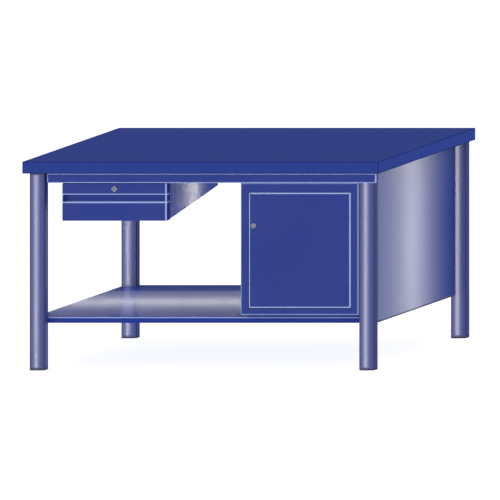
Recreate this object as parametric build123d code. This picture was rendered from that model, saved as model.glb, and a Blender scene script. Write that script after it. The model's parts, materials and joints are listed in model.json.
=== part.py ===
from build123d import *
from math import sqrt
import os

# Steel workbench with a hung drawer unit, a lockable cupboard and an open lower shelf.
# Frame: millimetres, +Z up, X along the length, Y from front to back.
# The origin is on the floor, under the middle of the worktop. The front of the bench faces -Y.

# ---------------------------------------------------------------- driving sizes
length = 1500.0            # worktop, along X
depth = 750.0              # worktop, along Y
height = 880.0             # floor to the work surface
top_thickness = 50.0

leg_width = 64.0           # along X
leg_depth = 32.0           # along Y
leg_dome = 3.0             # rise of the leg's gently domed front face
leg_overhang = 25.0        # worktop past the legs at each end
front_setback = 9.0        # worktop's front edge to the front of the legs and doors
tube_wall = 2.0
sheet = 1.5                # cupboard, drawer and shelf sheet
face_sheet = 2.0           # door, drawer front, fascia and worktop sheet
edge_radius = 4.0          # rounded edges of door, drawer front and fascia

rail_height = 40.0
rail_depth = 20.0
rear_rail_inset = 10.0     # rear rail in from the worktop's rear edge
bearer_width = 30.0
bearer_inset = 17.0        # outer bearers' centres in from the drawer unit's sides
bolt_radius = 4.0
bolt_into_board = 32.0
shelf_top = 219.5
shelf_lip = 25.5
shelf_clear = 2.0          # between the shelf and the legs beside it
foot_flange = 4.0
panel_inset = 43.0         # end panel's outer face in from the legs' outer faces
panel_bottom = 180.0
panel_flange = 17.0

fascia_left = -647.0
fascia_right = 737.0
fascia_bottom = 789.0
fascia_proud = 6.0         # fascia's thickness, in front of the legs

cupboard_left = 164.0
cupboard_right = 660.0
cupboard_bottom = 233.0
cupboard_back = 300.0
door_left = 198.0
door_right = 627.0
door_bottom = 262.0
door_top = 748.0
door_depth = 20.0
door_gap = 2.0
frame_depth = 18.0         # cupboard's front frame, front to back
plinth_side_inset = 16.0
plinth_setback = 24.0      # plinth behind the cupboard's face
hinge_inset = 12.0         # hinge axis in from the door's right edge
hinge_behind_face = 5.5    # hinge axis behind the door's face
hinge_pin_radius = 2.5
running_gap = 0.05         # radial clearance of a turning pin or plug

drawer_left = -587.0
drawer_right = -145.0
drawer_bottom = 629.0
drawer_top = 787.5
drawer_front_depth = 22.0
housing_rear = 28.0
housing_rise = 75.0        # the housing's floor rises this much from front to rear
grip_bottom = 709.0
grip_top = 739.0
grip_depth = 14.0
grip_end = 8.0             # solid end of the finger recess at each side
tray_top = 770.0
tray_rear = 12.0
tray_floor_gap = 7.0

runner_width = 12.7        # three-part runner, side of housing to side of tray
runner_height = 45.0
runner_middle_z = 747.5

lock_barrel_radius = 8.0
lock_plug_radius = 5.0
lock_nut_across = 20.0
cam_width = 12.0
cam_thickness = 2.5

# ---------------------------------------------------------------- places worked out from them
front = -depth / 2
face_y = front + front_setback
leg_rear_y = face_y + leg_depth
rear_leg_y = depth / 2 - leg_depth
top_under = height - top_thickness
leg_outer = length / 2 - leg_overhang
leg_inner = leg_outer - leg_width
rail_bottom = top_under - rail_height
front_rail_y = leg_rear_y - rail_depth
rear_rail_y = depth / 2 - rear_rail_inset - rail_depth
panel_x = leg_outer - panel_inset
side_rail_outer = panel_x - sheet
shelf_bottom = shelf_top - shelf_lip
hinge_x = door_right - hinge_inset
hinge_y = face_y + hinge_behind_face
housing_front = face_y + drawer_front_depth + 2
housing_roof_front = face_y + drawer_front_depth
housing_slope = housing_rise / (housing_rear - face_y)
housing_roof_z = rail_bottom - sheet
drawer_middle = (drawer_left + drawer_right) / 2


def block(x0, x1, y0, y1, z0, z1):
    """A box between two opposite corners."""
    return Pos((x0 + x1) / 2, (y0 + y1) / 2, (z0 + z1) / 2) * Box(x1 - x0, y1 - y0, z1 - z0)


def front_pan(x0, x1, y0, y1, z0, z1, wall, radius):
    """A folded sheet pan, open at the back, with rounded edges round its front."""
    shell = block(x0, x1, y0, y1, z0, z1)
    rounded = shell.faces().sort_by(Axis.Y)[0].edges() + shell.edges().filter_by(Axis.Y)
    shell = fillet(rounded, radius)
    return shell - block(x0 + wall, x1 - wall, y0 + wall, y1 + 1, z0 + wall, z1 - wall)


def tube(x0, x1, y0, y1, z0, z1, axis, wall=tube_wall):
    """A rectangular tube between two corners, open at both ends along the axis."""
    along = {Axis.X: (0, 1, 1), Axis.Y: (1, 0, 1), Axis.Z: (1, 1, 0)}[axis]
    outside = fillet(block(x0, x1, y0, y1, z0, z1).edges().filter_by(axis), wall + 0.5)
    wx, wy, wz = (wall * a - (1 - a) for a in along)
    return outside - block(x0 + wx, x1 - wx, y0 + wy, y1 - wy, z0 + wz, z1 - wz)


def rod_y(x, z, radius, y0, y1):
    """A round bar along Y."""
    return Pos(x, (y0 + y1) / 2, z) * Rot(90, 0, 0) * Cylinder(radius, y1 - y0)


def rod_z(x, y, radius, z0, z1):
    """A round bar along Z."""
    return Pos(x, y, (z0 + z1) / 2) * Cylinder(radius, z1 - z0)


def side_profile(points, x0, x1):
    """A solid from a closed outline of (y, z) points, drawn across the bench from x0 to x1."""
    outline = Polyline([(x0, y, z) for y, z in points], close=True)
    return extrude(make_face(outline), amount=x1 - x0, dir=(1, 0, 0))


# ---------------------------------------------------------------- worktop and frame
def worktop_skin():
    """Folded steel tray that wraps the board: top, four skirts and a return lip below."""
    lip = 20.0
    half_x = length / 2
    half_y = depth / 2
    skin = block(-half_x, half_x, -half_y, half_y, top_under, height)
    rounded = skin.faces().sort_by(Axis.Z)[-1].edges() + skin.edges().filter_by(Axis.Z)
    skin = fillet(rounded, 3.0)
    inner_x = half_x - face_sheet
    inner_y = half_y - face_sheet
    skin -= block(-inner_x, inner_x, -inner_y, inner_y, top_under + face_sheet, height - face_sheet)
    mouth_x = inner_x - lip
    mouth_y = inner_y - lip
    return skin - block(-mouth_x, mouth_x, -mouth_y, mouth_y, top_under - 1, top_under + 5)


def worktop_bolt_places():
    """(x, y) of the bolts that come up through the bearers and side rails into the board."""
    places = [(x, y) for x in bearer_centres()[:2] for y in (100.0, 280.0)]
    places += [(bearer_centres()[2], 322.0)]
    rail_x = (leg_inner + side_rail_outer) / 2
    places += [(side * rail_x, y) for side in (-1, 1) for y in (-200.0, 200.0)]
    return places


def bearer_centres():
    """Bearers stand over the drawer housing's two sides and over the cupboard."""
    return [drawer_left + bearer_inset, drawer_right - bearer_inset, (cupboard_left + cupboard_right) / 2]


def worktop_core():
    """Board inside the skin, rebated over the lip so its underside is flush."""
    lip = 20.0
    inner_x = length / 2 - face_sheet
    inner_y = depth / 2 - face_sheet
    core = block(-inner_x, inner_x, -inner_y, inner_y, top_under + face_sheet, height - face_sheet)
    core += block(-inner_x + lip, inner_x - lip, -inner_y + lip, inner_y - lip,
                  top_under, top_under + face_sheet)
    for x, y in worktop_bolt_places():
        core -= rod_z(x, y, bolt_radius + 0.1, top_under - 1, top_under + bolt_into_board)
    return core


def leg_outline(width, deep, corner):
    """Section of a leg: flat sides and back, gently domed front."""
    x = width / 2
    y = deep / 2
    shoulder = -y + leg_dome
    edges = [
        Line((-x, shoulder), (-x, y)),
        Line((-x, y), (x, y)),
        Line((x, y), (x, shoulder)),
        ThreePointArc((x, shoulder), (0, -y), (-x, shoulder)),
    ]
    section = make_face(edges)
    return fillet(section.vertices(), corner)


def leg(x, y_front):
    """One leg, a closed steel tube that stands on its foot."""
    outer = extrude(leg_outline(leg_width, leg_depth, 3.5), amount=top_under - foot_flange)
    bore = leg_outline(leg_width - 2 * tube_wall, leg_depth - 2 * tube_wall, 1.5)
    outer -= extrude(bore, amount=top_under)
    return Pos(x, y_front + leg_depth / 2, foot_flange) * outer


def foot(x, y_front):
    """Plastic foot: a flange under the leg and a plug up its bore."""
    flange = extrude(leg_outline(leg_width - 0.6, leg_depth - 0.6, 3.0), amount=foot_flange)
    slack = 2 * tube_wall + 0.4
    plug = extrude(leg_outline(leg_width - slack, leg_depth - slack, 1.5), amount=foot_flange + 24)
    plug -= Pos(0, 0, foot_flange + 15) * Box(leg_width - 16, leg_depth - 16, 22)
    return Pos(x, y_front + leg_depth / 2, 0) * (flange + plug)


def bolted(rail):
    """The rail with clearance holes for the worktop bolts that cross it."""
    for x, y in worktop_bolt_places():
        rail -= rod_z(x, y, bolt_radius + 0.5, rail_bottom - 1, top_under + 1)
    return rail


def long_rail(y0):
    """Rail between two legs, along X, under the worktop."""
    return tube(-leg_inner, leg_inner, y0, y0 + rail_depth, rail_bottom, top_under, Axis.X)


def upper_side_rail(side):
    """Rail between the front and rear leg of one end, under the worktop."""
    x0, x1 = sorted((side * leg_inner, side * side_rail_outer))
    return bolted(tube(x0, x1, leg_rear_y, rear_leg_y, rail_bottom, top_under, Axis.Y))


def lower_side_rail(side):
    """Rail inside the shelf's folded edge, which carries the shelf."""
    x0, x1 = sorted((side * leg_inner, side * (side_rail_outer - shelf_clear)))
    y1 = rear_leg_y - shelf_clear - sheet
    return tube(x0, x1, leg_rear_y + sheet, y1, shelf_bottom, shelf_top - sheet, Axis.Y)


def bearer(x):
    """Bearer from the front rail to the rear rail."""
    half = bearer_width / 2
    return bolted(tube(x - half, x + half, leg_rear_y, rear_rail_y, rail_bottom, top_under, Axis.Y))


def worktop_bolts():
    """Hexagon bolts up into the worktop board."""
    bolt_head = 5.3
    bolts = []
    for x, y in worktop_bolt_places():
        head = extrude(RegularPolygon(7.5, 6), amount=bolt_head)
        shank = rod_z(0, 0, bolt_radius, 0, rail_height + bolt_into_board)
        bolts.append(Pos(x, y, rail_bottom - bolt_head) * (head + shank))
    return Compound(bolts)


def front_fascia():
    """Pressed fascia under the worktop's front edge, with flanges back to the front rail."""
    web = front_pan(fascia_left, fascia_right, face_y - fascia_proud, face_y,
                    fascia_bottom, top_under, face_sheet, edge_radius)
    flange_left = fascia_left + edge_radius + 1
    flange_right = leg_inner - shelf_clear
    for z in (fascia_bottom, top_under - face_sheet):
        web += block(flange_left, flange_right, face_y - 1, front_rail_y, z, z + face_sheet)
    return web


# ---------------------------------------------------------------- lower shelf and end panel
def shelf_outline(inset):
    """Plan of the shelf: out to the legs' faces on the open left end, and narrowed between the rear legs."""
    right_x = side_rail_outer - inset
    left_x = leg_outer - 3 - inset
    narrow = leg_inner - shelf_clear - inset
    front_y = leg_rear_y + inset
    step_y = rear_leg_y - shelf_clear - inset
    back_y = depth / 2 - 5 - inset
    right = [(right_x, front_y), (right_x, step_y), (narrow, step_y), (narrow, back_y)]
    left = [(-narrow, back_y), (-narrow, step_y), (-left_x, step_y), (-left_x, front_y)]
    return make_face(Polyline(right + left, close=True))


def shelf_tray():
    """Folded shelf: a sheet with its edges turned down all round."""
    tray = Pos(0, 0, shelf_bottom) * extrude(shelf_outline(0), amount=shelf_lip)
    tray = fillet(tray.faces().sort_by(Axis.Z)[-1].edges(), 1.2)
    return tray - Pos(0, 0, shelf_bottom - 1) * extrude(shelf_outline(sheet), amount=shelf_lip + 1 - sheet)


def shelf_stiffener():
    """Channel under the middle of the shelf, from side rail to side rail."""
    x = leg_inner
    half = 30.0
    channel = block(-x, x, -half, half, shelf_bottom + 2, shelf_top - sheet)
    return channel - block(-x - 1, x + 1, -half + sheet, half - sheet, shelf_bottom, shelf_top - 2 * sheet)


def end_panel():
    """Steel sheet that closes the right end, let in between the legs, its bottom turned in under the shelf."""
    x0 = panel_x - panel_flange
    panel = block(x0, panel_x, leg_rear_y, rear_leg_y, panel_bottom, top_under)
    corner = panel.edges().filter_by(Axis.Y).group_by(Axis.Z)[0].sort_by(Axis.X)[-1]
    panel = fillet(corner, 2.5)
    return panel - block(x0 - 1, panel_x - sheet, leg_rear_y - 1, rear_leg_y + 1,
                         panel_bottom + sheet, top_under + 1)


# ---------------------------------------------------------------- cupboard
frame_rear = face_y + frame_depth


def cupboard_side(x0):
    """Side sheet of the cupboard."""
    return block(x0, x0 + sheet, frame_rear, cupboard_back, cupboard_bottom, fascia_bottom)


def cupboard_level(z0):
    """Floor or roof sheet of the cupboard, between its sides."""
    return block(cupboard_left + sheet, cupboard_right - sheet, frame_rear, cupboard_back - sheet,
                 z0, z0 + sheet)


def cupboard_back_panel():
    """Back sheet of the cupboard."""
    return block(cupboard_left + sheet, cupboard_right - sheet, cupboard_back - sheet, cupboard_back,
                 cupboard_bottom, fascia_bottom)


def hinge_holes(part):
    """The part with the two hinge pins' holes cut at the pins' own radius."""
    for z in (door_bottom, door_top):
        part -= rod_z(hinge_x, hinge_y, hinge_pin_radius, z - 12, z + 12)
    return part


def cupboard_front_frame():
    """Pressed channel frame round the door opening, open at the back."""
    ring = block(cupboard_left, cupboard_right, face_y, frame_rear, cupboard_bottom, fascia_bottom)
    ring = fillet(ring.faces().sort_by(Axis.Y)[0].edges(), 3.0)
    gap = door_gap
    hole = (door_left - gap, door_right + gap, face_y - 1, frame_rear + 1, door_bottom - gap, door_top + gap)
    ring -= block(*hole)
    around_door = [e for e in ring.faces().sort_by(Axis.Y)[0].edges()
                   if door_left - 5 < e.center().X < door_right + 5
                   and door_bottom - 5 < e.center().Z < door_top + 5]
    ring = fillet(around_door, 2.5)
    channel = block(cupboard_left + sheet, cupboard_right - sheet, face_y + sheet, frame_rear + 1,
                    cupboard_bottom + sheet, fascia_bottom - sheet)
    channel -= block(hole[0] - sheet, hole[1] + sheet, face_y, frame_rear + 1,
                     hole[4] - sheet, hole[5] + sheet)
    return hinge_holes(ring - channel)


def cupboard_plinth():
    """Folded strip frame that lifts the cupboard off the shelf, set back from its front."""
    x0, x1 = cupboard_left + plinth_side_inset, cupboard_right - plinth_side_inset
    y0, y1 = face_y + plinth_setback, cupboard_back - plinth_side_inset
    plinth = block(x0, x1, y0, y1, shelf_top, cupboard_bottom)
    return plinth - block(x0 + sheet, x1 - sheet, y0 + sheet, y1 - sheet, shelf_top - 1, cupboard_bottom + 1)


# ---------------------------------------------------------------- cupboard door
door_lock_x = 219.0
door_lock_z = 609.0


def door_skin():
    """Outer pan of the door."""
    skin = front_pan(door_left, door_right, face_y, face_y + door_depth,
                     door_bottom, door_top, face_sheet, edge_radius)
    for z in (door_bottom, door_top):
        skin -= rod_z(hinge_x, hinge_y, hinge_pin_radius + running_gap, z - 4, z + 4)
    return skin - rod_y(door_lock_x, door_lock_z, lock_barrel_radius, face_y - 1, face_y + 5)


def door_inner_pan():
    """Inner pan that closes the door from behind, its edges turned forward."""
    x0, x1 = door_left + face_sheet, door_right - face_sheet
    z0, z1 = door_bottom + face_sheet, door_top - face_sheet
    y1 = face_y + door_depth
    y0 = y1 - 10
    pan = block(x0, x1, y0, y1, z0, z1)
    pan -= block(x0 + sheet, x1 - sheet, y0 - 1, y1 - sheet, z0 + sheet, z1 - sheet)
    return pan - rod_y(door_lock_x, door_lock_z, lock_barrel_radius + 0.5, y0, y1 + 1)


def hinge_brackets():
    """Plates in the front frame that hold the two hinge pins."""
    gap = door_gap + sheet
    thick = 4.0
    plates = []
    for z in (door_bottom - gap - thick, door_top + gap):
        plates.append(block(hinge_x - 14, hinge_x + 14, face_y + sheet, frame_rear - 1, z, z + thick))
    return Compound([hinge_holes(plate) for plate in plates])


def hinge_pins():
    """Hinge pins; the lower one has a collar that carries the door."""
    reach = 12.0
    lower = rod_z(hinge_x, hinge_y, hinge_pin_radius, door_bottom - 7.5, door_bottom + reach)
    lower += rod_z(hinge_x, hinge_y, 4.5, door_bottom - door_gap, door_bottom - 0.2)
    upper = rod_z(hinge_x, hinge_y, hinge_pin_radius, door_top - reach, door_top + 7.5)
    return Compound([lower, upper])


def hinge_bushes():
    """Bush blocks inside the door's top and bottom, on which it turns."""
    tall = 12.0
    bushes = []
    for z in (door_bottom + face_sheet, door_top - face_sheet - tall):
        bush = block(hinge_x - 8, hinge_x + 8, face_y + face_sheet, face_y + door_depth - 10.5, z, z + tall)
        bushes.append(bush - rod_z(hinge_x, hinge_y, hinge_pin_radius + running_gap, z - 1, z + tall + 1))
    return Compound(bushes)


# ---------------------------------------------------------------- locks, the same for door and drawer
def lock_barrel(x, z, head, rear_y):
    """Fixed barrel of a cam lock, with its head in front of the sheet."""
    barrel = head + rod_y(x, z, lock_barrel_radius, face_y, rear_y)
    return barrel - rod_y(x, z, lock_plug_radius + running_gap, face_y - 5, rear_y + 1)


def round_head(x, z):
    """Round rose of the door's lock."""
    rose = rod_y(x, z, 10.5, face_y - 2.5, face_y)
    return fillet(rose.faces().sort_by(Axis.Y)[0].edges(), 1.2)


def diamond_head(x, z):
    """Diamond-shaped escutcheon of the drawer's lock, a square stood on its corner."""
    half_diagonal = 14.0
    side = half_diagonal * sqrt(2)
    plate = Pos(x, face_y - 1.25, z) * Rot(0, 45, 0) * Box(side, 2.5, side)
    plate = fillet(plate.edges().filter_by(Axis.Y), 1.5)
    return chamfer(plate.faces().sort_by(Axis.Y)[0].edges(), 0.8)


def lock_nut(x, z):
    """Hexagon nut that clamps the barrel to the sheet from behind."""
    nut = extrude(RegularPolygon(lock_nut_across / sqrt(3), 6), amount=5.0)
    nut = Pos(x, face_y + face_sheet + 5, z) * Rot(90, 0, 0) * nut
    return nut - rod_y(x, z, lock_barrel_radius, face_y, face_y + 12)


def lock_plug(x, z, rear_y):
    """Turning plug with its key slot."""
    plug = rod_y(x, z, lock_plug_radius, face_y - 3, rear_y)
    return plug - block(x - 0.7, x + 0.7, face_y - 4, face_y, z - 3.4, z + 3.4)


def lock_cam(x, z, front_y, reach):
    """Flat cam on the plug's end, pointing to +X."""
    half = cam_width / 2
    cam = block(x - half - 1, x + reach, front_y, front_y + cam_thickness, z - half, z + half)
    cam = fillet(cam.edges().filter_by(Axis.Y), 2.0)
    return cam - rod_y(x, z, lock_plug_radius, front_y - 1, front_y + cam_thickness + 1)


door_barrel_rear = face_y + door_depth + 0.5
door_cam_y = door_barrel_rear + 0.3


def door_lock_cam():
    """Door's cam, hanging straight down while the door is unlocked."""
    cam = lock_cam(0, 0, door_cam_y, 34.0)
    return Pos(door_lock_x, 0, door_lock_z) * Rot(0, 90, 0) * cam


def door_lock_keeper():
    """Plate behind the left side of the front frame, which the cam turns behind."""
    return block(cupboard_left + sheet, door_left - door_gap - sheet, frame_rear, frame_rear + sheet,
                 door_lock_z - 20, door_lock_z + 20)


# ---------------------------------------------------------------- drawer housing
def floor_z(y):
    """Underside of the drawer housing's sloping floor at a place along Y."""
    return drawer_bottom + housing_slope * (y - face_y)


def housing_side(x0):
    """Side sheet of the housing, deeper at the front than at the rear."""
    points = [
        (housing_front, floor_z(housing_front)),
        (housing_rear, floor_z(housing_rear)),
        (housing_rear, housing_roof_z),
        (housing_front, housing_roof_z),
    ]
    return side_profile(points, x0, x0 + sheet)


def housing_floor():
    """Sloping floor sheet of the housing."""
    points = [
        (housing_front, floor_z(housing_front)),
        (housing_rear, floor_z(housing_rear)),
        (housing_rear, floor_z(housing_rear) + sheet),
        (housing_front, floor_z(housing_front) + sheet),
    ]
    return side_profile(points, drawer_left + sheet, drawer_right - sheet)


def housing_back():
    """Rear sheet of the housing."""
    return block(drawer_left + sheet, drawer_right - sheet, housing_rear - sheet, housing_rear,
                 floor_z(housing_rear) + sheet, housing_roof_z)


lock_lip_drop = 12.5


def housing_roof():
    """Roof sheet, fixed up to the bearers; its front lip is what the drawer's cam locks behind."""
    roof = block(drawer_left, drawer_right, housing_roof_front, housing_rear, housing_roof_z, rail_bottom)
    lip = block(drawer_left + 25, drawer_right - 25, housing_roof_front, housing_roof_front + sheet,
                housing_roof_z - lock_lip_drop, housing_roof_z)
    return roof + lip


# ---------------------------------------------------------------- drawer
drawer_lock_z = 763.0


def drawer_front():
    """Pressed drawer front with a full-width finger recess under the lock."""
    y1 = face_y + drawer_front_depth
    shell = block(drawer_left, drawer_right, face_y, y1, drawer_bottom, drawer_top)
    rounded = shell.faces().sort_by(Axis.Y)[0].edges() + shell.edges().filter_by(Axis.Y)
    shell = fillet(rounded, edge_radius)
    recess_y = face_y + grip_depth
    recess_left = drawer_left + grip_end
    recess_right = drawer_right - grip_end
    shell -= block(recess_left, recess_right, face_y - 1, recess_y, grip_bottom, grip_top)
    lips = [e for e in shell.edges().filter_by(Axis.X)
            if grip_bottom - 1 < e.center().Z < grip_top + 1 and e.center().Y < face_y + 1]
    shell = fillet(lips, 3.0)
    wall = face_sheet
    hollow = block(drawer_left + wall, drawer_right - wall, face_y + wall, y1 - sheet,
                   drawer_bottom + wall, drawer_top - wall)
    hollow -= block(recess_left - wall, recess_right + wall, face_y, recess_y + wall,
                    grip_bottom - wall, grip_top + wall)
    shell -= hollow
    flange = 25.0
    shell -= block(drawer_left + flange, drawer_right - flange, y1 - 3, y1 + 1,
                   drawer_bottom + flange, drawer_top - wall)
    return shell - rod_y(drawer_middle, drawer_lock_z, lock_barrel_radius, face_y - 1, face_y + 5)


def drawer_tray():
    """Welded drawer box with a floor that rises to the rear and a low front wall."""
    y0, y1 = face_y + drawer_front_depth, tray_rear
    x0, x1 = drawer_left + sheet + runner_width, drawer_right - sheet - runner_width
    low = tray_floor_gap

    def outline(inset, lift, top):
        return [(y0 + inset, floor_z(y0 + inset) + low + lift), (y1 - inset, floor_z(y1 - inset) + low + lift),
                (y1 - inset, top), (y0 + inset, top)]

    tray = side_profile(outline(0, 0, tray_top), x0, x1)
    tray -= side_profile(outline(sheet, sheet, tray_top + 5), x0 + sheet, x1 - sheet)
    return tray - block(x0 + sheet, x1 - sheet, y0 - 1, y0 + sheet + 0.5, 750, tray_top + 1)


def runner_member(side, web_at, lips_to, half, y0, y1):
    """One folded member of a runner: a web, and lips that face the next member."""
    base = drawer_left + sheet if side < 0 else drawer_right - sheet
    inward = -side

    def span(a, b):
        return sorted((base + inward * a, base + inward * b))

    z0, z1 = runner_middle_z - half, runner_middle_z + half
    member = block(*span(web_at, web_at + sheet), y0, y1, z0, z1)
    for z in (z0, z1 - sheet):
        member += block(*span(min(web_at, lips_to), max(web_at + sheet, lips_to)), y0, y1, z, z + sheet)
    return member


def runners():
    """The three members of each runner, by name, at rest (closed)."""
    members = {}
    half = runner_height / 2
    start = housing_front + 2
    for side, name in ((-1, "left"), (1, "right")):
        members[f"runner_outer_{name}"] = runner_member(side, 0, 11, half, start, housing_rear - 3)
        members[f"runner_middle_{name}"] = runner_member(side, 3, 10.5, half - 3, start + 2, tray_rear + 3)
        members[f"runner_inner_{name}"] = runner_member(
            side, runner_width - sheet, 6, half - 6, start, tray_rear - 2)
    return members


# ---------------------------------------------------------------- every node by name
def nodes():
    """All sub-parts of the bench, by the name each is written under."""
    drawer_x = drawer_middle
    drawer_barrel_rear = housing_roof_front + sheet + 1.5
    drawer_cam_y = drawer_barrel_rear + 0.3
    parts = {
        "worktop_skin": worktop_skin(),
        "worktop_core": worktop_core(),
        "worktop_bolts": worktop_bolts(),
        "front_rail": long_rail(front_rail_y),
        "rear_rail": long_rail(rear_rail_y),
        "front_fascia": front_fascia(),
        "shelf_tray": shelf_tray(),
        "shelf_stiffener": shelf_stiffener(),
        "end_panel": end_panel(),
        "cupboard_side_left": cupboard_side(cupboard_left),
        "cupboard_side_right": cupboard_side(cupboard_right - sheet),
        "cupboard_back": cupboard_back_panel(),
        "cupboard_floor": cupboard_level(cupboard_bottom),
        "cupboard_roof": cupboard_level(fascia_bottom - sheet),
        "cupboard_front_frame": cupboard_front_frame(),
        "cupboard_plinth": cupboard_plinth(),
        "door_skin": door_skin(),
        "door_inner_pan": door_inner_pan(),
        "hinge_brackets": hinge_brackets(),
        "hinge_pins": hinge_pins(),
        "hinge_bushes": hinge_bushes(),
        "door_lock_barrel": lock_barrel(door_lock_x, door_lock_z, round_head(door_lock_x, door_lock_z),
                                        door_barrel_rear),
        "door_lock_nut": lock_nut(door_lock_x, door_lock_z),
        "door_lock_plug": lock_plug(door_lock_x, door_lock_z, door_cam_y + cam_thickness + 0.5),
        "door_lock_cam": door_lock_cam(),
        "door_lock_keeper": door_lock_keeper(),
        "drawer_housing_left": housing_side(drawer_left),
        "drawer_housing_right": housing_side(drawer_right - sheet),
        "drawer_housing_floor": housing_floor(),
        "drawer_housing_back": housing_back(),
        "drawer_housing_roof": housing_roof(),
        "drawer_front": drawer_front(),
        "drawer_tray": drawer_tray(),
        "drawer_lock_barrel": lock_barrel(drawer_x, drawer_lock_z, diamond_head(drawer_x, drawer_lock_z),
                                          drawer_barrel_rear),
        "drawer_lock_nut": lock_nut(drawer_x, drawer_lock_z),
        "drawer_lock_plug": lock_plug(drawer_x, drawer_lock_z, drawer_cam_y + cam_thickness + 0.5),
        "drawer_lock_cam": lock_cam(drawer_x, drawer_lock_z, drawer_cam_y, 21.0),
    }
    leg_x = leg_outer - leg_width / 2
    for side, side_name in ((-1, "left"), (1, "right")):
        for y_front, end_name in ((face_y, "front"), (rear_leg_y, "rear")):
            parts[f"leg_{end_name}_{side_name}"] = leg(side * leg_x, y_front)
            parts[f"foot_{end_name}_{side_name}"] = foot(side * leg_x, y_front)
        parts[f"upper_side_rail_{side_name}"] = upper_side_rail(side)
        parts[f"lower_side_rail_{side_name}"] = lower_side_rail(side)
    for x, name in zip(bearer_centres(), ("left", "middle", "right")):
        parts[f"worktop_bearer_{name}"] = bearer(x)
    parts.update(runners())
    return parts


os.makedirs("parts", exist_ok=True)
for node, shape in nodes().items():
    export_step(shape, f"parts/{node}.step")
    print(node, round(shape.volume))
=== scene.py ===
# %% [markdown]
# # A blue steel workbench
# The bench is sheet and tube: a steel-clad worktop on four tube legs, a hung drawer unit, a cupboard that
# stands on a folded lower shelf, and one closed end. The frame file already holds every piece at its real
# size and place, so this notebook gives the pieces their finishes, adds the finer hardware, and sets up a
# plain studio to look at it in.

# %% Load the frame and keep its box
import json
import math
import bmesh
import bpy
from mathutils import Matrix, Vector


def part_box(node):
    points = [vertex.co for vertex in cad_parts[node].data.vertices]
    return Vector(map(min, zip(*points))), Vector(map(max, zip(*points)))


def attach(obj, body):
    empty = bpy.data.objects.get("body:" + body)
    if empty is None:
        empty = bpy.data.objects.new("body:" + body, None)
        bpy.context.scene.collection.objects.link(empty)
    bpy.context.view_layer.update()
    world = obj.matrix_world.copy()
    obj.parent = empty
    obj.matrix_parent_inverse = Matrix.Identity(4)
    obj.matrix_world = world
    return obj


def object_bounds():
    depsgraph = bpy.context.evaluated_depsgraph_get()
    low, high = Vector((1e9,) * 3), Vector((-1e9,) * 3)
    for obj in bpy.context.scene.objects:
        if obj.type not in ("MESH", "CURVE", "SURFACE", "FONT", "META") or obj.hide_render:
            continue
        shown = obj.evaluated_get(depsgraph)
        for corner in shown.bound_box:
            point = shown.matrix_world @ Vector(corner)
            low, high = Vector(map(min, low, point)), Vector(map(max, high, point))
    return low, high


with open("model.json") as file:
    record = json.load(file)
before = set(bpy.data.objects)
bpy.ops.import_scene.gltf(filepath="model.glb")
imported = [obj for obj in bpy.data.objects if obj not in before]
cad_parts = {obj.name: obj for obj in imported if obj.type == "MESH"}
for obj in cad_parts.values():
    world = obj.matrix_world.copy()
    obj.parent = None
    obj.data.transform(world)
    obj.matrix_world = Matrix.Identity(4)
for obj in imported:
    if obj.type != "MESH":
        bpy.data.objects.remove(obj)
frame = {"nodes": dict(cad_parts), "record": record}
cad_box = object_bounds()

nodes = frame["nodes"]
record = frame["record"]
print("pieces in the frame:", len(nodes))

# %% [markdown]
# ## The camera
# A catalogue drawing of cabinet furniture is often an oblique view: the front keeps its true shape, and
# depth runs off up to the right. A camera does the same if it has no perspective and its viewing line
# isn't square to its picture. Blender's camera has no such setting, but a parent's inverse matrix may hold
# a shear, so the camera gets one there. The picture stays in the plane of the bench's front.

# %% Oblique camera
DEPTH_RIGHT = 0.544      # shift to the right in the picture for each metre of depth
DEPTH_UP = 0.1907        # and upwards
PICTURE_WIDTH = 2.103    # metres of the bench's front plane across the picture
CAMERA_AWAY = 5.0

front_plane = cad_box[0][1]
picture_centre = Vector((0.209, front_plane, 0.5085))
backwards = Vector((DEPTH_RIGHT, -1.0, DEPTH_UP)).normalized()
camera_place = picture_centre + backwards * CAMERA_AWAY

camera = bpy.data.objects.new("camera", bpy.data.cameras.new("camera"))
camera.data.type = "ORTHO"
camera.data.ortho_scale = PICTURE_WIDTH
camera.data.clip_end = 60.0
camera_axes = bpy.data.objects.new("camera_axes", None)
for thing in (camera, camera_axes):
    bpy.context.collection.objects.link(thing)
camera.parent = camera_axes
camera.matrix_parent_inverse = Matrix((
    (1, 0, backwards.x, camera_place.x),
    (0, 0, backwards.y, camera_place.y),
    (0, 1, backwards.z, camera_place.z),
    (0, 0, 0, 1),
))
bpy.context.scene.camera = camera
print("camera at", [round(v, 2) for v in camera_place])


# %% [markdown]
# ## Shared effects
# Powder coat is the same everywhere on the bench, so its effects are built once, as node groups that each
# finish then uses with its own values. A small helper makes a group with named sockets.

# %% Helpers for node trees
def make_group(name, inputs, outputs):
    """A shader node group with named sockets: inputs are (name, type, default), outputs are (name, type)."""
    group = bpy.data.node_groups.new(name, "ShaderNodeTree")
    for socket_name, kind, default in inputs:
        socket = group.interface.new_socket(socket_name, in_out="INPUT", socket_type=kind)
        socket.default_value = default
    for socket_name, kind in outputs:
        group.interface.new_socket(socket_name, in_out="OUTPUT", socket_type=kind)
    return group, group.nodes.new("NodeGroupInput"), group.nodes.new("NodeGroupOutput")


def plug(tree, source, target):
    """Set a socket to a constant, or link another socket to it."""
    if hasattr(source, "is_output"):
        tree.links.new(source, target)
    else:
        target.default_value = source


def maths(tree, operation, *values, clamp=False):
    """A Math node's output."""
    node = tree.nodes.new("ShaderNodeMath")
    node.operation = operation
    node.use_clamp = clamp
    for value, socket in zip(values, node.inputs):
        plug(tree, value, socket)
    return node.outputs[0]


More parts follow.
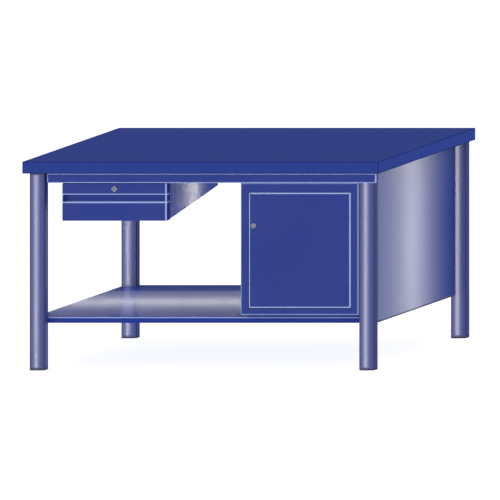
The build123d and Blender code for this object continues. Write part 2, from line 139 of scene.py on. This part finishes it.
def ramp(tree, value, start, end, low_out=0.0, high_out=1.0):
    """Smoothly take a value from low_out at start to high_out at end."""
    node = tree.nodes.new("ShaderNodeMapRange")
    node.interpolation_type = "SMOOTHSTEP"
    settings = {"Value": value, "From Min": start, "From Max": end, "To Min": low_out, "To Max": high_out}
    for name, setting in settings.items():
        plug(tree, setting, node.inputs[name])
    return node.outputs["Result"]


def noise(tree, vector, scale, detail=3.0):
    """A Noise Texture's factor."""
    node = tree.nodes.new("ShaderNodeTexNoise")
    plug(tree, vector, node.inputs["Vector"])
    plug(tree, scale, node.inputs["Scale"])
    node.inputs["Detail"].default_value = detail
    return node.outputs["Fac"]


def mix_colour(tree, factor, first, second):
    """Mix two colours."""
    node = tree.nodes.new("ShaderNodeMix")
    node.data_type = "RGBA"
    plug(tree, factor, node.inputs[0])
    plug(tree, first, node.inputs[6])
    plug(tree, second, node.inputs[7])
    return node.outputs[2]


def object_point(tree):
    """The point on the piece, in metres, in the bench's own frame."""
    return tree.nodes.new("ShaderNodeTexCoord").outputs["Object"]


print("helpers for node trees are ready")

# %% [markdown]
# ### Coat texture
# Cured powder has a fine orange peel, a millimetre or two across, under a slow unevenness of colour a hand
# or two wide. Two noises of very different scale give both. The fine one goes out as a height, for a bump,
# and the slow one as a factor that leans the colour and the gloss a little.

# %% Coat texture group
coat_texture, inside, out = make_group(
    "coat_texture",
    [("Point", "NodeSocketVector", (0, 0, 0)), ("Grain Scale", "NodeSocketFloat", 620.0)],
    [("Height", "NodeSocketFloat"), ("Unevenness", "NodeSocketFloat")],
)
peel = noise(coat_texture, inside.outputs["Point"], inside.outputs["Grain Scale"], 2.0)
slow = noise(coat_texture, inside.outputs["Point"], 3.2, 4.0)
coat_texture.links.new(peel, out.inputs["Height"])
coat_texture.links.new(ramp(coat_texture, slow, 0.3, 0.7), out.inputs["Unevenness"])
print("effect group:", coat_texture.name)

# %% [markdown]
# ### Painted edge line
# Each panel is edged with a painted line: a pale one is a painted highlight, standing in for the light a
# rounded edge catches, and a dark one is painted shade along the edge. The line's place is measured from the
# panel's own centre and half size, which keeps its width the same on every panel. On a face the distance to
# that face is nil, so the line goes by the second smallest of the three distances. A little noise keeps it
# from looking ruled.

# %% Painted edge line group
painted_edge_line, inside, out = make_group(
    "painted_edge_line",
    [("Point", "NodeSocketVector", (0, 0, 0)), ("Centre", "NodeSocketVector", (0, 0, 0)),
     ("Half Size", "NodeSocketVector", (1, 1, 1)), ("Width", "NodeSocketFloat", 0.007)],
    [("Mask", "NodeSocketFloat")],
)
offset = painted_edge_line.nodes.new("ShaderNodeVectorMath")
offset.operation = "SUBTRACT"
painted_edge_line.links.new(inside.outputs["Point"], offset.inputs[0])
painted_edge_line.links.new(inside.outputs["Centre"], offset.inputs[1])
distance = painted_edge_line.nodes.new("ShaderNodeVectorMath")
distance.operation = "ABSOLUTE"
painted_edge_line.links.new(offset.outputs[0], distance.inputs[0])
inset = painted_edge_line.nodes.new("ShaderNodeVectorMath")
inset.operation = "SUBTRACT"
painted_edge_line.links.new(inside.outputs["Half Size"], inset.inputs[0])
painted_edge_line.links.new(distance.outputs[0], inset.inputs[1])
sides = painted_edge_line.nodes.new("ShaderNodeSeparateXYZ")
painted_edge_line.links.new(inset.outputs[0], sides.inputs[0])
along, back, up = sides.outputs
lesser = maths(painted_edge_line, "MINIMUM", along, back)
greater = maths(painted_edge_line, "MAXIMUM", along, back)
nearest = maths(painted_edge_line, "MAXIMUM", lesser, maths(painted_edge_line, "MINIMUM", greater, up))
ragged = noise(painted_edge_line, inside.outputs["Point"], 90.0, 3.0)
wavering = maths(painted_edge_line, "MULTIPLY", inside.outputs["Width"], ramp(painted_edge_line, ragged, 0.2, 0.8, 0.85, 1.15))
line_mask = ramp(painted_edge_line, nearest, maths(painted_edge_line, "MULTIPLY", wavering, 0.75), wavering, 1.0, 0.0)
painted_edge_line.links.new(line_mask, out.inputs["Mask"])
print("effect group:", painted_edge_line.name)

# %% [markdown]
# ### Handling marks
# A bench is leant on and things are slid along it. Fine straight scuffs along its length and a soft bloom
# of dust on what faces up are enough at this distance. The scuffs are a noise stretched long, cut to its
# peaks and then to patches.

# %% Handling marks group
handling, inside, out = make_group(
    "handling_marks",
    [("Point", "NodeSocketVector", (0, 0, 0))],
    [("Scuffs", "NodeSocketFloat"), ("Dust", "NodeSocketFloat")],
)
stretched = handling.nodes.new("ShaderNodeMapping")
stretched.inputs["Rotation"].default_value = (0.0, 0.0, 0.35)
stretched.inputs["Scale"].default_value = (2.0, 160.0, 60.0)
handling.links.new(inside.outputs["Point"], stretched.inputs["Vector"])
scuffs = ramp(handling, noise(handling, stretched.outputs[0], 1.6, 3.0), 0.66, 0.78)
patches = ramp(handling, noise(handling, inside.outputs["Point"], 4.5, 2.0), 0.45, 0.7)
handling.links.new(maths(handling, "MULTIPLY", scuffs, patches), out.inputs["Scuffs"])
facing = handling.nodes.new("ShaderNodeSeparateXYZ")
handling.links.new(handling.nodes.new("ShaderNodeNewGeometry").outputs["Normal"], facing.inputs[0])
upward = ramp(handling, facing.outputs[2], 0.6, 1.0)
specks = ramp(handling, noise(handling, inside.outputs["Point"], 30.0, 5.0), 0.4, 0.75)
handling.links.new(maths(handling, "MULTIPLY", upward, specks), out.inputs["Dust"])
print("effect group:", handling.name)

# %% [markdown]
# ## The blue powder coat
# One function makes the coat for any piece. The base is a deep blue; scuffs and dust lay paler or darker
# tones over it, and the edge lines lay painted highlights and painted shade along its edges. The gloss
# differs by place: the worktop is nearly matt, the door and drawer are satin, and the legs and the shelf are
# shinier. The coat is a Principled shader, with a thin clear layer on most pieces, since cured powder is a
# coloured plastic skin, and a small bevel in the normal keeps sheet edges from looking knife sharp. Along a
# painted dark edge the roughness rises too, so the bright reflections stop short there.

# %% Powder coat finish
BLUE = (0.0170, 0.0375, 0.250, 1.0)
# The worktop's blue is a lighter copy of the bench blue, painted in so that the top reads as bright as the
# front under these lights.
PAINTED_LIGHTER_TOP_BLUE = (0.022, 0.045, 0.250, 1.0)
# A pale blue painted along edges and folds as a highlight.
PAINTED_HIGHLIGHT_BLUE = (0.340, 0.418, 0.760, 1.0)
# A dark blue painted along edges as shade.
PAINTED_SHADE_BLUE = (0.010, 0.022, 0.120, 1.0)
SCUFF_BLUE = (0.075, 0.105, 0.330, 1.0)
DUST = (0.105, 0.125, 0.300, 1.0)


def add_group(tree, group, **values):
    """Place an effect group in a material, with its own values."""
    node = tree.nodes.new("ShaderNodeGroup")
    node.node_tree = group
    for name, value in values.items():
        plug(tree, value, node.inputs[name.replace("_", " ")])
    return node


def new_material(name):
    """An empty node material and its Principled shader."""
    material = bpy.data.materials.new(name)
    material.use_nodes = True
    return material, material.node_tree, material.node_tree.nodes["Principled BSDF"]


def node_rim(node_name):
    """The centre and half size that the painted edge line is measured from, for one piece."""
    corner_a, corner_b = (Vector(c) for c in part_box(node_name))
    return tuple((corner_a + corner_b) / 2), tuple((corner_b - corner_a) / 2)


def powder_coat(name, rims=(), roughness=0.42, specular=0.35, coat=0.15, coat_roughness=0.2, lines=(),
                dust=0.5, base=BLUE, uneven=0.06, scuffed=0.2, peel=0.06):
    """Blue powder coat.

    rims are painted edge lines, as (centre, half size, width, strength, colour), and lines are painted
    highlight lines, as (axis, place, width, strength).
    """
    material, tree, shader = new_material(name)
    point = object_point(tree)
    texture = add_group(tree, coat_texture, Point=point)
    marks = add_group(tree, handling, Point=point)
    leaning = maths(tree, "MULTIPLY", texture.outputs["Unevenness"], uneven)
    colour = mix_colour(tree, leaning, base, SCUFF_BLUE)
    colour = mix_colour(tree, maths(tree, "MULTIPLY", marks.outputs["Scuffs"], scuffed), colour, SCUFF_BLUE)
    colour = mix_colour(tree, maths(tree, "MULTIPLY", marks.outputs["Dust"], dust * 0.25), colour, DUST)
    dulled = 0.0
    # Each rim paints a highlight or a shade line round the piece's edges; a painted shade line also raises
    # the roughness there.
    for centre, half, width, strength, tone in rims:
        rim = add_group(tree, painted_edge_line, Point=point, Centre=centre, Half_Size=half, Width=width)
        edge_mask = maths(tree, "MULTIPLY", rim.outputs["Mask"], strength)
        colour = mix_colour(tree, edge_mask, colour, tone)
        if tone == PAINTED_SHADE_BLUE:
            dulled = maths(tree, "ADD", dulled, maths(tree, "MULTIPLY", edge_mask, 0.5))
    axes = tree.nodes.new("ShaderNodeSeparateXYZ")
    tree.links.new(point, axes.inputs[0])
    # Each line paints a pale highlight stripe across the piece at one place.
    for axis, place, width, strength in lines:
        off_line = maths(tree, "ABSOLUTE", maths(tree, "SUBTRACT", axes.outputs["XYZ".index(axis)], place))
        band = ramp(tree, off_line, width * 0.35, width * 0.65, strength, 0.0)
        colour = mix_colour(tree, band, colour, PAINTED_HIGHLIGHT_BLUE)
    tree.links.new(colour, shader.inputs["Base Color"])
    gloss = maths(tree, "ADD", roughness, maths(tree, "MULTIPLY", marks.outputs["Dust"], dust * 0.24))
    slow_gloss = maths(tree, "MULTIPLY", texture.outputs["Unevenness"], uneven * 0.4)
    gloss = maths(tree, "ADD", gloss, slow_gloss)
    tree.links.new(maths(tree, "ADD", gloss, dulled, clamp=True), shader.inputs["Roughness"])
    shader.inputs["Specular IOR Level"].default_value = specular
    shader.inputs["Coat Weight"].default_value = coat
    shader.inputs["Coat Roughness"].default_value = coat_roughness
    edge = tree.nodes.new("ShaderNodeBevel")
    edge.samples = 4
    edge.inputs["Radius"].default_value = 0.0012
    bump = tree.nodes.new("ShaderNodeBump")
    bump.inputs["Strength"].default_value = peel
    bump.inputs["Distance"].default_value = 0.0003
    tree.links.new(texture.outputs["Height"], bump.inputs["Height"])
    tree.links.new(edge.outputs[0], bump.inputs["Normal"])
    tree.links.new(bump.outputs[0], shader.inputs["Normal"])
    return material


def dress(node_name, material):
    """Give a piece of the frame its finish."""
    piece = nodes[node_name]
    if piece.material_slots:
        for material_slot in piece.material_slots:
            material_slot.material = material
    else:
        piece.data.materials.append(material)


plain_coat = powder_coat("coat_plain")
for name in nodes:
    dress(name, plain_coat)
print("plain coat on", len(nodes), "pieces")

# %% [markdown]
# ### Coats with their own rims
# The pieces whose edges show get a coat of their own, because the rim is measured from each one's box. The
# edges of the worktop, the end panel and the legs get a rim of painted shade, and the rest a rim of painted
# highlight. The drawer front and the shelf's lip have pale lines of painted highlight instead, at the edges
# of their folds.

# %% Panels with rims
def rimmed(node_name, width, strength, tone=PAINTED_HIGHLIGHT_BLUE, **finish):
    """Coat one piece with a painted line round its own box: a pale one is a painted highlight, a dark one
    painted shade.
    """
    centre, half = node_rim(node_name)
    material = powder_coat("coat_" + node_name, [(centre, half, width, strength, tone)], **finish)
    dress(node_name, material)


# The worktop: the lighter painted copy of the blue, with painted shade round its edges.
rimmed("worktop_skin", 0.0045, 0.7, tone=PAINTED_SHADE_BLUE, roughness=0.6, specular=0.05, coat=0.0,
       base=PAINTED_LIGHTER_TOP_BLUE, uneven=0.02, scuffed=0.08, dust=0.0)
# Painted highlight rims on the fascia, door and frame, and painted shade round the end panel.
rimmed("front_fascia", 0.005, 0.85)
rimmed("door_skin", 0.0065, 0.95)
rimmed("cupboard_front_frame", 0.005, 0.65)
rimmed("end_panel", 0.0085, 1.0, tone=PAINTED_SHADE_BLUE, roughness=0.32, specular=0.6, peel=0.02)
# The shelf's lip gets a painted highlight line along its fold.
LIP_FOLD = 0.0032        # the lip's pale line is this far under the shelf's top
shelf_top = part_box("shelf_tray")[1][2]
lip_highlight_line = ("Z", shelf_top - LIP_FOLD, 0.0045, 0.8)
dress("shelf_tray", powder_coat("coat_shelf", lines=[lip_highlight_line], roughness=0.17, specular=0.08, coat=0.0,
                                dust=0.02, uneven=0.02, peel=0.0))
GRIP_RISE = 0.080        # the finger recess starts this far above the drawer front's bottom
GRIP_TALL = 0.030
FOLD_HIGHLIGHT_WIDTH = 0.0055       # width of the pale line on a fold
drawer_low, drawer_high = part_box("drawer_front")
grip_low = drawer_low[2] + GRIP_RISE
grip_high = grip_low + GRIP_TALL
# Painted highlight lines along the finger recess's edges and the front's right edge.
drawer_highlight_lines = [("Z", grip_low - 0.002, FOLD_HIGHLIGHT_WIDTH, 1.0), ("Z", grip_high + 0.0015, FOLD_HIGHLIGHT_WIDTH, 1.0),
                ("X", drawer_high[0] - 0.0045, FOLD_HIGHLIGHT_WIDTH, 1.0)]
dress("drawer_front", powder_coat("coat_drawer_front", lines=drawer_highlight_lines))
housing_coat = powder_coat("coat_housing", roughness=0.225, specular=0.6, coat=0.0, peel=0.02)
dress("drawer_housing_right", housing_coat)
leg_names = [n for n in nodes if n.startswith("leg_")]
# Each leg gets painted shade down its edges.
for name in leg_names:
    rimmed(name, 0.009, 0.8, tone=PAINTED_SHADE_BLUE, roughness=0.275, specular=0.6, coat=0.1, uneven=0.03,
           peel=0.005)
print("legs:", leg_names)


# %% [markdown]
# ## Metal, plastic and board
# The small hardware is bright zinc or satin die-cast metal, the feet are black plastic, the hinge bushes
# nylon, and the worktop's core a dense board. Each has its own grain: a brushed streak on the metals, a
# fine moulded stipple on the plastics, and a coarser one, like pressed chips, in the board.

# %% Hardware finishes
def metal(name, colour, roughness, streak, metallic=0.85):
    """A metal with fine streaks across it."""
    material, tree, shader = new_material(name)
    point = object_point(tree)
    mapping = tree.nodes.new("ShaderNodeMapping")
    mapping.inputs["Scale"].default_value = streak
    tree.links.new(point, mapping.inputs["Vector"])
    lines = noise(tree, mapping.outputs[0], 40.0, 4.0)
    tarnish = ramp(tree, noise(tree, point, 55.0, 4.0), 0.35, 0.75)
    darker = tuple(c * 0.72 for c in colour[:3]) + (1.0,)
    tarnished = mix_colour(tree, maths(tree, "MULTIPLY", tarnish, 0.5), colour, darker)
    tree.links.new(tarnished, shader.inputs["Base Color"])
    brushed = ramp(tree, lines, 0.3, 0.7, roughness - 0.06, roughness + 0.08)
    tree.links.new(brushed, shader.inputs["Roughness"])
    shader.inputs["Metallic"].default_value = metallic
    bump = tree.nodes.new("ShaderNodeBump")
    bump.inputs["Strength"].default_value = 0.1
    bump.inputs["Distance"].default_value = 0.0001
    tree.links.new(lines, bump.inputs["Height"])
    tree.links.new(bump.outputs[0], shader.inputs["Normal"])
    return material


def stippled(name, colour, roughness, scale):
    """A moulded or pressed material with a fine stipple."""
    material, tree, shader = new_material(name)
    grain = noise(tree, object_point(tree), scale, 5.0)
    paler = tuple(min(1.0, c * 1.35 + 0.01) for c in colour[:3]) + (1.0,)
    mottled = mix_colour(tree, ramp(tree, grain, 0.35, 0.7), colour, paler)
    tree.links.new(mottled, shader.inputs["Base Color"])
    tree.links.new(ramp(tree, grain, 0.3, 0.7, roughness, roughness + 0.12), shader.inputs["Roughness"])
    bump = tree.nodes.new("ShaderNodeBump")
    bump.inputs["Strength"].default_value = 0.25
    bump.inputs["Distance"].default_value = 0.0003
    tree.links.new(grain, bump.inputs["Height"])
    tree.links.new(bump.outputs[0], shader.inputs["Normal"])
    return material


zinc = metal("zinc_plate", (0.62, 0.64, 0.66, 1.0), 0.32, (1.0, 1.0, 30.0))
lock_metal = metal("lock_metal", (0.30, 0.335, 0.38, 1.0), 0.4, (25.0, 1.0, 1.0), metallic=0.25)
black_plastic = stippled("foot_plastic", (0.012, 0.013, 0.022, 1.0), 0.55, 900.0)
nylon = stippled("bush_nylon", (0.66, 0.66, 0.60, 1.0), 0.45, 700.0)
board = stippled("board", (0.30, 0.19, 0.10, 1.0), 0.8, 260.0)
by_slot = {"zinc_plate": zinc, "lock_metal": lock_metal, "foot_plastic": black_plastic,
           "bush_plastic": nylon, "board": board}
for entry in record["subparts"]:
    if entry["material_slot"] in by_slot:
        dress(entry["node"], by_slot[entry["material_slot"]])
print("hardware finishes:", sorted(by_slot))

# %% [markdown]
# ## Small hardware
# A lock or a screw is a turned part, so each one here is a profile of (radius, height) points spun round its
# axis. A spun profile keeps true round edges with few faces, where a beveled cylinder would need cutting
# back. The heads sit on the sheet where the frame says it is, and each rides with the body it is fixed to.

# %% Turned shapes
AXIS = Vector((0, 0, 1))


def turned(profile, steps=48):
    """A mesh spun from (radius, height) points; a profile that starts and ends off the axis is closed."""
    shape = bmesh.new()
    rim = [shape.verts.new((radius, 0.0, rise)) for radius, rise in profile]
    pairs = list(zip(rim, rim[1:]))
    if profile[0][0] > 0:
        pairs.append((rim[-1], rim[0]))
    edges = [shape.edges.new(pair) for pair in pairs]
    bmesh.ops.spin(shape, geom=rim + edges, cent=(0, 0, 0), axis=AXIS, angle=2 * math.pi, steps=steps,
                   use_merge=True)
    bmesh.ops.remove_doubles(shape, verts=shape.verts, dist=0.000002)
    bmesh.ops.recalc_face_normals(shape, faces=shape.faces)
    mesh = bpy.data.meshes.new("turned")
    shape.to_mesh(mesh)
    shape.free()
    return mesh


def socketed(mesh, radius):
    """Turn the round recess of a spun head, out to the given radius, into a hexagon socket."""
    sixth = math.pi / 3
    for vertex in mesh.vertices:
        off_axis = math.hypot(vertex.co.x, vertex.co.y)
        if 0.0 < off_axis <= radius * 1.001:
            angle = math.atan2(vertex.co.y, vertex.co.x) % sixth - sixth / 2
            vertex.co.xy *= math.cos(sixth / 2) / math.cos(angle)
    return mesh


def set_out(name, mesh, places, body, material):
    """One piece made of copies of a mesh, at (point, outward direction) places."""
    whole = bmesh.new()
    for point, outward in places:
        first = len(whole.verts)
        whole.from_mesh(mesh)
        whole.verts.ensure_lookup_table()
        turn = AXIS.rotation_difference(Vector(outward)).to_matrix().to_4x4()
        bmesh.ops.transform(whole, matrix=Matrix.Translation(point) @ turn, verts=whole.verts[first:])
    made = bpy.data.meshes.new(name)
    whole.to_mesh(made)
    whole.free()
    piece = bpy.data.objects.new(name, made)
    bpy.context.collection.objects.link(piece)
    made.materials.append(material)
    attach(piece, body)
    print(name, "rides on", body, "-", len(made.polygons), "faces")


# %% [markdown]
# ### Lock trims
# A cam lock shows a thin turned bezel round its plug, a spring shutter inside the key slot, and at the back
# a screw and washer that hold the cam. The bezel stays with the barrel, and the rest turns with the plug.
# The shutter is a small leaf of steel, so it is a cube drawn out thin with its edges beveled.

# %% Lock trims
FORWARD = (0, -1, 0)
REARWARD = (0, 1, 0)
UPWARD = (0, 0, 1)
LEAF_SIZE = (0.0012, 0.0006, 0.0064)
LEAF_DEPTH = 0.0016      # from the plug's face to the shutter in its slot
bezel_profile = [(0.0053, 0.0), (0.0053, 0.0003), (0.0056, 0.0005), (0.0064, 0.0005), (0.0068, 0.0002),
                 (0.0068, 0.0)]
bezel = turned(bezel_profile)
cam_screw_profile = [(0.0, 0.0), (0.0048, 0.0), (0.0048, 0.0006), (0.0039, 0.0006), (0.0038, 0.0015),
                     (0.0033, 0.0019), (0.0021, 0.0019), (0.0020, 0.0017), (0.0020, 0.0008), (0.0, 0.0008)]
cam_screw = socketed(turned(cam_screw_profile), 0.0021)
leaf = bmesh.new()
bmesh.ops.create_cube(leaf, size=1.0)
bmesh.ops.scale(leaf, vec=LEAF_SIZE, verts=leaf.verts)
bmesh.ops.bevel(leaf, geom=leaf.edges[:], offset=0.00015, offset_type="OFFSET", segments=2, profile=0.5,
                affect="EDGES", material=-1)
leaf_mesh = bpy.data.meshes.new("leaf")
leaf.to_mesh(leaf_mesh)
leaf.free()
dark_steel = metal("dark_steel", (0.06, 0.06, 0.065, 1.0), 0.45, (1.0, 30.0, 1.0))
for owner in ("door", "drawer"):
    turning = owner + "_lock"
    plug_low, plug_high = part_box(turning + "_plug")
    head_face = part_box(turning + "_barrel")[0][1]
    plug_x = (plug_low[0] + plug_high[0]) / 2
    plug_z = (plug_low[2] + plug_high[2]) / 2
    on_head = (plug_x, head_face, plug_z)
    behind_plug = (plug_x, plug_high[1], plug_z)
    in_slot = (plug_x, plug_low[1] + LEAF_DEPTH, plug_z)
    set_out(owner + "_lock_bezel", bezel, [(on_head, FORWARD)], owner, lock_metal)
    set_out(owner + "_cam_screw", cam_screw, [(behind_plug, REARWARD)], turning, zinc)
    set_out(owner + "_key_shutter", leaf_mesh, [(in_slot, UPWARD)], turning, dark_steel)

# %% [markdown]
# ### Rivets and floor screws
# The runners are riveted to the drawer's sides, so low domed heads show inside the tray. Socket screws with
# a thin flange hold the cupboard's floor down to the shelf. Both are spun heads set out in rows, in one
# piece each, because all the heads of a kind move together.

# %% Rivets and floor screws
SHEET = 0.0015           # thickness of the tray's and the cupboard floor's steel
RIVET_INSET = 0.05       # from the tray's front and rear to the end rivets
tray_low, tray_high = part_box("drawer_tray")
runner_low, runner_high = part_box("runner_inner_left")
runner_level = (runner_low[2] + runner_high[2]) / 2
rivet_profile = [(0.0, 0.0), (0.0036, 0.0), (0.0035, 0.0004), (0.0029, 0.0008), (0.0020, 0.0011),
                 (0.0010, 0.0012), (0.0, 0.00125)]
rivet = turned(rivet_profile)
rivet_rows = [tray_low[1] + RIVET_INSET, (tray_low[1] + tray_high[1]) / 2, tray_high[1] - RIVET_INSET]
rivets = [((tray_low[0] + SHEET, y, runner_level), (1, 0, 0)) for y in rivet_rows]
rivets += [((tray_high[0] - SHEET, y, runner_level), (-1, 0, 0)) for y in rivet_rows]
set_out("tray_rivets", rivet, rivets, "drawer", zinc)

SCREW_INSET_X = 0.045    # from the floor's edges to the screws
SCREW_INSET_Y = 0.05
floor_screw_profile = [(0.0, 0.0), (0.0085, 0.0), (0.0085, 0.0008), (0.0062, 0.0012), (0.0058, 0.0030),
                       (0.0046, 0.0038), (0.0031, 0.0038), (0.0029, 0.0035), (0.0029, 0.0016), (0.0, 0.0016)]
floor_screw = socketed(turned(floor_screw_profile), 0.0031)
deck_low, deck_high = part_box("cupboard_floor")
corners = [(x, y, deck_low[2] + SHEET) for x in (deck_low[0] + SCREW_INSET_X, deck_high[0] - SCREW_INSET_X)
           for y in (deck_low[1] + SCREW_INSET_Y, deck_high[1] - SCREW_INSET_Y)]
screws = [(corner, UPWARD) for corner in corners]
set_out("cupboard_floor_screws", floor_screw, screws, "bench", zinc)

# %% [markdown]
# ## The studio
# The floor is plain and pale, and gives off much of its own light, so that it stays as light as the backdrop
# and shadows on it stay faint. An even white dome lights front and top alike, and is kept faint in
# reflections. What the eye reads as gloss on the steel comes from strip lights instead. Each is a narrow
# upright or level panel, placed where one piece would mirror it towards the camera, and linked to that piece
# alone, as black flags in a studio would keep it off everything else.

# %% Floor
FLOOR_GLOW = 0.84
FLOOR_REACH = 45.0       # half the floor's width
plane = bmesh.new()
bmesh.ops.create_grid(plane, x_segments=1, y_segments=1, size=FLOOR_REACH)
floor_mesh = bpy.data.meshes.new("floor")
plane.to_mesh(floor_mesh)
plane.free()
floor = bpy.data.objects.new("floor", floor_mesh)
bpy.context.collection.objects.link(floor)
GREY_LOW = (0.24, 0.24, 0.24, 1)
GREY_HIGH = (0.27, 0.27, 0.27, 1)
floor_material, tree, shader = new_material("floor_white")
floor_grain = noise(tree, object_point(tree), 1.5, 3.0)
floor_tone = mix_colour(tree, floor_grain, GREY_LOW, GREY_HIGH)
tree.links.new(floor_tone, shader.inputs["Base Color"])
shader.inputs["Emission Color"].default_value = (1, 1, 1, 1)
shader.inputs["Emission Strength"].default_value = FLOOR_GLOW
shader.inputs["Roughness"].default_value = 0.9
shader.inputs["Specular IOR Level"].default_value = 0.0
floor.data.materials.append(floor_material)
floor.visible_glossy = False
print("floor glow:", FLOOR_GLOW)

# %% Dome
DOME_STRENGTH = 1.12
DOME_IN_GLOSS = 0.10
world = bpy.data.worlds.new("dome")
bpy.context.scene.world = world
world.use_nodes = True
tree = world.node_tree
background = tree.nodes["Background"]
background.inputs["Color"].default_value = (1, 1, 1, 1)
ray = tree.nodes.new("ShaderNodeLightPath")
dome_power = ramp(tree, ray.outputs["Is Glossy Ray"], 0.0, 1.0, DOME_STRENGTH, DOME_IN_GLOSS)
tree.links.new(dome_power, background.inputs["Strength"])
bpy.context.scene.view_settings.view_transform = "Standard"
print("dome strength:", DOME_STRENGTH, "and in reflections:", DOME_IN_GLOSS)

# %% [markdown]
# ### Strip lights
# The helper works out where a strip has to hang. It mirrors the camera's viewing line in the surface and
# goes that way from a chosen spot, so the strip's reflection falls on that spot. Its receivers are the
# pieces it lights. Only the worktop's core may block it, since an empty list of blockers would mean every
# piece. With gloss off the lamp is a broad fill, which lifts the coat's own blue where the bench shades it.

# %% Strip light helper
view_line = -backwards
STRIP_TINT = (1.0, 0.98, 0.88)
RIGHTWARD = (1, 0, 0)
UPRIGHT = (0, 0, 1)
LEVEL = (1, 0, 0)
blockers = bpy.data.collections.new("strip_blockers")
blockers.objects.link(nodes["worktop_core"])


def strip(name, receivers, spot, normal, away, long_axis, size, power, gloss=True):
    """A strip light that a surface at spot, facing normal, mirrors to the camera from a distance away.

    size is its length along long_axis and its width, both in metres.
    """
    normal = Vector(normal).normalized()
    mirrored = view_line - 2 * view_line.dot(normal) * normal
    along = Vector(long_axis)
    outward = (mirrored - mirrored.dot(along) * along).normalized()
    across = outward.cross(along)
    turn = Matrix((along, across, outward)).transposed().to_4x4()
    data = bpy.data.lights.new(name, "AREA")
    data.shape = "RECTANGLE"
    data.size, data.size_y = size
    data.energy = power
    data.color = STRIP_TINT
    lamp = bpy.data.objects.new(name, data)
    bpy.context.collection.objects.link(lamp)
    lamp.matrix_world = Matrix.Translation(Vector(spot) + mirrored * away) @ turn
    lamp.visible_camera = False
    lamp.visible_diffuse = not gloss
    lamp.visible_glossy = gloss
    lit = bpy.data.collections.new(name + "_lights")
    for receiver in receivers:
        lit.objects.link(nodes[receiver])
    lamp.light_linking.receiver_collection = lit
    lamp.light_linking.blocker_collection = blockers


# %% [markdown]
# ### Strips for the legs
# Each leg's domed front shows one soft upright band, a little to the left of its middle, so its strip is
# aimed for a face turned slightly that way. A second, weak one keeps the leg's side from going dull. The
# rear legs stand in the bench's shade and get a fill too. The rear right leg's mirror line runs into the
# end panel, and a ray that follows it is lost there. A very thin lamp is found by aiming at it instead, and
# that way the panel isn't in its list of blockers, so this one leg gets a thin strip.

# %% Leg strips
LEG_SPOT_HEIGHT = 0.45   # about half way up a leg
BAND_LEAN = (-0.018, -1, 0)
BROAD_STRIP = (3.0, 0.05)
THIN_STRIP = (1.3, 0.002)
for name in leg_names:
    corner_a, corner_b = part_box(name)
    front_spot = ((corner_a[0] + corner_b[0]) / 2, corner_a[1], LEG_SPOT_HEIGHT)
    side_spot = (corner_b[0], (corner_a[1] + corner_b[1]) / 2, LEG_SPOT_HEIGHT)
    size, power = (THIN_STRIP, 8.2) if name == "leg_rear_right" else (BROAD_STRIP, 17.5)
    strip("strip_" + name, [name], front_spot, BAND_LEAN, away=0.9, long_axis=UPRIGHT, size=size, power=power)
    if "rear" in name:
        strip("fill_" + name, [name], front_spot, FORWARD, away=0.6, long_axis=UPRIGHT,
              size=(1.6, 0.6), power=3.6, gloss=False)
    side_power = 1.7 if name == "leg_front_left" else 0.4
    strip("side_" + name, [name], side_spot, RIGHTWARD, away=0.6, long_axis=UPRIGHT,
          size=(3.0, 0.3), power=side_power)
print("legs lit:", len(leg_names))

# %% [markdown]
# ### Strips for the end panel and the drawer housing
# Both are flat and face the right end, so each shows one wide upright band. The nearer the strip hangs, the
# faster its angle changes along the sheet and the narrower the band gets: the housing's is close.

# %% Panel and housing strips
PANEL_BAND_DEPTH = 0.0      # the middle of each band, from the bench's middle
HOUSING_BAND_DEPTH = -0.162
panel_spot = (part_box("end_panel")[1][0], PANEL_BAND_DEPTH, 0.5)
housing_spot = (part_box("drawer_housing_right")[1][0], HOUSING_BAND_DEPTH, 0.72)
strip("strip_end_panel", ["end_panel"], panel_spot, RIGHTWARD, away=0.5, long_axis=UPRIGHT,
      size=(3.0, 0.03), power=5.7)
strip("strip_housing", ["drawer_housing_right"], housing_spot, RIGHTWARD, away=0.25, long_axis=UPRIGHT,
      size=(2.0, 0.02), power=1.75)
strip("fill_housing", ["drawer_housing_right"], housing_spot, RIGHTWARD, away=0.5, long_axis=UPRIGHT,
      size=(0.8, 0.8), power=7.5, gloss=False)
print("panel and housing bands at", panel_spot, housing_spot)

# %% [markdown]
# ### Strips for the shelf
# The shelf is seen at a low angle and shows a pale band along its middle that dies away to the front and
# back. The legs' mirror images lie across the shelf, and a strip behind them would be cut by them, so
# these hang just in front of the rear legs. One so close would give a lopsided band: three, aimed at
# three depths with falling power, even it out. The fill hangs straight above.

# %% Shelf strips
LEG_CLEARANCE = 0.018    # the strips hang this far in front of the rear legs
rear_leg_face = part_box("leg_rear_left")[0][1]
for part, depth, power in (("front", -0.02, 0.80), ("middle", 0.1, 0.15), ("rear", 0.2, 0.08)):
    away = (rear_leg_face - LEG_CLEARANCE - depth) / view_line.y
    shelf_spot = (-0.3, depth, shelf_top)
    strip("strip_shelf_" + part, ["shelf_tray"], shelf_spot, UPWARD, away, long_axis=LEVEL,
          size=(4.0, 0.006), power=power)
halfway_up = backwards + Vector(UPWARD)     # a surface facing this way mirrors the camera straight up
strip("fill_shelf", ["shelf_tray"], (0.0, 0.0, shelf_top), halfway_up, away=0.45, long_axis=LEVEL,
      size=(2.0, 0.5), power=3.0, gloss=False)
